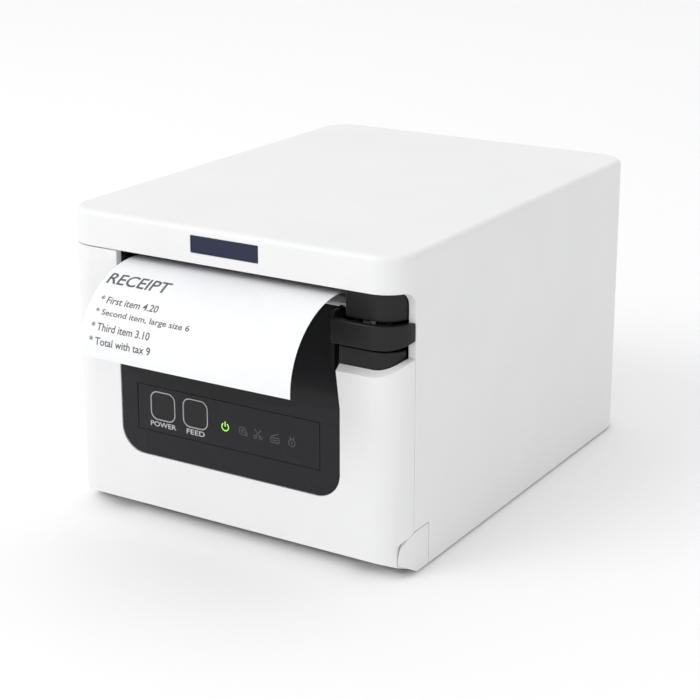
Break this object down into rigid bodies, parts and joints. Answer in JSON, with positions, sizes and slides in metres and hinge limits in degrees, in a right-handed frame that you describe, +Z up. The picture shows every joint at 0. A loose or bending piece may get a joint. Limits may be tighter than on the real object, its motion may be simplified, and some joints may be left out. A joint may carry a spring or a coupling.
{
  "type": "receipt printer",
  "caption": "Front-exit thermal receipt printer with a fold-down front cover, black control panel, cover lever, print and cutter mechanism, and a printed paper strip in the slot.",
  "frame": {"origin": "bottom centre of the bounding box, on the surface that the feet stand on", "axes": "+X to the printer's right seen from the front, +Y from the front to the back, +Z up"},
  "size_m": [0.147, 0.223, 0.12],
  "materials": {
    "white_case": "fine satin moulded texture",
    "panel_black": "smooth semi-gloss black film over moulded black plastic",
    "lever_black": "semi-gloss moulded black",
    "button_black": "satin black",
    "badge_navy": "semi-gloss navy",
    "steel": "zinc plated",
    "blade_steel": "ground",
    "aluminium": "extruded",
    "brass": "turned",
    "black_plastic": "matt moulded",
    "motor_grey": "satin",
    "gear_white": "satin acetal",
    "rubber": "matt",
    "paper": "smooth thermal paper",
    "card": "spiral wound",
    "head_ceramic": "glazed",
    "board_green": "solder resist",
    "light_guide": "clear"
  },
  "bodies": {
    "root": {"case_shell": "white_case", "badge_plate": "badge_navy", "base_chassis": "white_case", "hinge_ear_left": "white_case", "hinge_ear_right": "white_case", "hinge_pin_left": "steel", "hinge_pin_right": "steel", "upper_side_cover": "lever_black", "mechanism_frame": "steel", "idler_stud": "steel", "feed_motor": "motor_grey", "cutter_motor": "motor_grey", "head_spring_left": "steel", "head_spring_right": "steel", "paper_web": "paper", "roll_bucket": "black_plastic", "paper_end_sensor": "motor_grey", "main_board": "board_green", "interface_board": "board_green", "connector_plate": "steel", "power_inlet": "black_plastic", "drawer_socket": "black_plastic", "usb_socket": "black_plastic", "rubber_foot_front_left": "rubber", "rubber_foot_front_right": "rubber", "rubber_foot_rear_left": "rubber", "rubber_foot_rear_right": "rubber", "base_screw_front_left": "steel", "base_screw_front_right": "steel", "base_screw_rear_left": "steel", "base_screw_rear_right": "steel"},
    "front_cover": {"front_cover": "white_case", "operation_panel": "panel_black", "status_light_guide": "light_guide", "panel_board": "board_green", "lower_side_cover": "lever_black", "lever_pin": "steel", "lever_spring": "steel", "platen_bracket": "steel", "platen_bush_left": "brass", "platen_bush_right": "brass", "fixed_blade": "blade_steel", "paper_tongue": "paper"},
    "power_button": {"power_button": "button_black"},
    "feed_button": {"feed_button": "button_black"},
    "open_lever": {"open_lever": "lever_black"},
    "platen": {"platen_roller": "rubber", "platen_shaft": "steel", "platen_gear": "gear_white"},
    "idler_gear": {"idler_gear": "gear_white"},
    "feed_motor_pinion": {"feed_motor_pinion": "brass"},
    "print_head": {"thermal_head": "head_ceramic", "head_heat_sink": "aluminium"},
    "cutter_shaft": {"cutter_shaft": "brass"},
    "moving_blade": {"moving_blade": "blade_steel"},
    "cutter_motor_pinion": {"cutter_motor_pinion": "brass"},
    "paper_roll": {"paper_roll": "paper", "roll_core": "card"}
  },
  "joints": [
    {"name": "cover_open", "type": "hinge", "parent": "root", "child": "front_cover", "pos_m": [0, -0.0745, 0.0095], "axis": [1, 0, 0], "range_deg": [0, 80], "deforming": ["paper_tongue"]},
    {"name": "power_press", "type": "slide", "parent": "front_cover", "child": "power_button", "axis": [0, 1, 0], "range_m": [0, 0.0008], "stiffness_N_per_m": 400, "springref_m": -0.0006},
    {"name": "feed_press", "type": "slide", "parent": "front_cover", "child": "feed_button", "axis": [0, 1, 0], "range_m": [0, 0.0008], "stiffness_N_per_m": 400, "springref_m": -0.0006},
    {"name": "lever_press", "type": "hinge", "parent": "front_cover", "child": "open_lever", "pos_m": [0, -0.0615, 0.08], "axis": [1, 0, 0], "range_deg": [0, 12], "stiffness_Nm_per_rad": 0.25, "springref_deg": -11.46, "deforming": ["lever_spring"]},
    {"name": "platen_spin", "type": "hinge", "parent": "front_cover", "child": "platen", "pos_m": [0, -0.0615, 0.087], "axis": [1, 0, 0], "continuous": true},
    {"name": "idler_spin", "type": "hinge", "parent": "root", "child": "idler_gear", "pos_m": [0, -0.04305, 0.10099], "axis": [1, 0, 0], "continuous": true},
    {"name": "feed_motor_spin", "type": "hinge", "parent": "root", "child": "feed_motor_pinion", "pos_m": [0, -0.023, 0.099], "axis": [1, 0, 0], "continuous": true},
    {"name": "head_tilt", "type": "hinge", "parent": "root", "child": "print_head", "pos_m": [0, -0.0515, 0.079], "axis": [-1, 0, 0], "range_deg": [0, 2.5], "stiffness_Nm_per_rad": 0.3, "springref_deg": -11.46, "deforming": ["head_spring_left", "head_spring_right"]},
    {"name": "cutter_turn", "type": "hinge", "parent": "root", "child": "cutter_shaft", "pos_m": [0, -0.0535, 0.10625], "axis": [-1, 0, 0], "range_deg": [0, 91]},
    {"name": "blade_slide", "type": "slide", "parent": "root", "child": "moving_blade", "axis": [0, -1, 0], "range_m": [0, 0.0079]},
    {"name": "cutter_motor_spin", "type": "hinge", "parent": "root", "child": "cutter_motor_pinion", "pos_m": [0, -0.04484, 0.1094], "axis": [-1, 0, 0], "range_deg": [-147, 0]},
    {"name": "roll_spin", "type": "hinge", "parent": "root", "child": "paper_roll", "pos_m": [0, -0.0115, 0.049], "axis": [1, 0, 0], "continuous": true}
  ],
  "couplings": [
    {"joint": "idler_spin", "follows": "platen_spin", "ratio": -0.64286},
    {"joint": "feed_motor_spin", "follows": "platen_spin", "ratio": 1.5},
    {"joint": "cutter_turn", "follows": "blade_slide", "rad_per_m": 200},
    {"joint": "cutter_motor_spin", "follows": "blade_slide", "rad_per_m": -320}
  ]
}
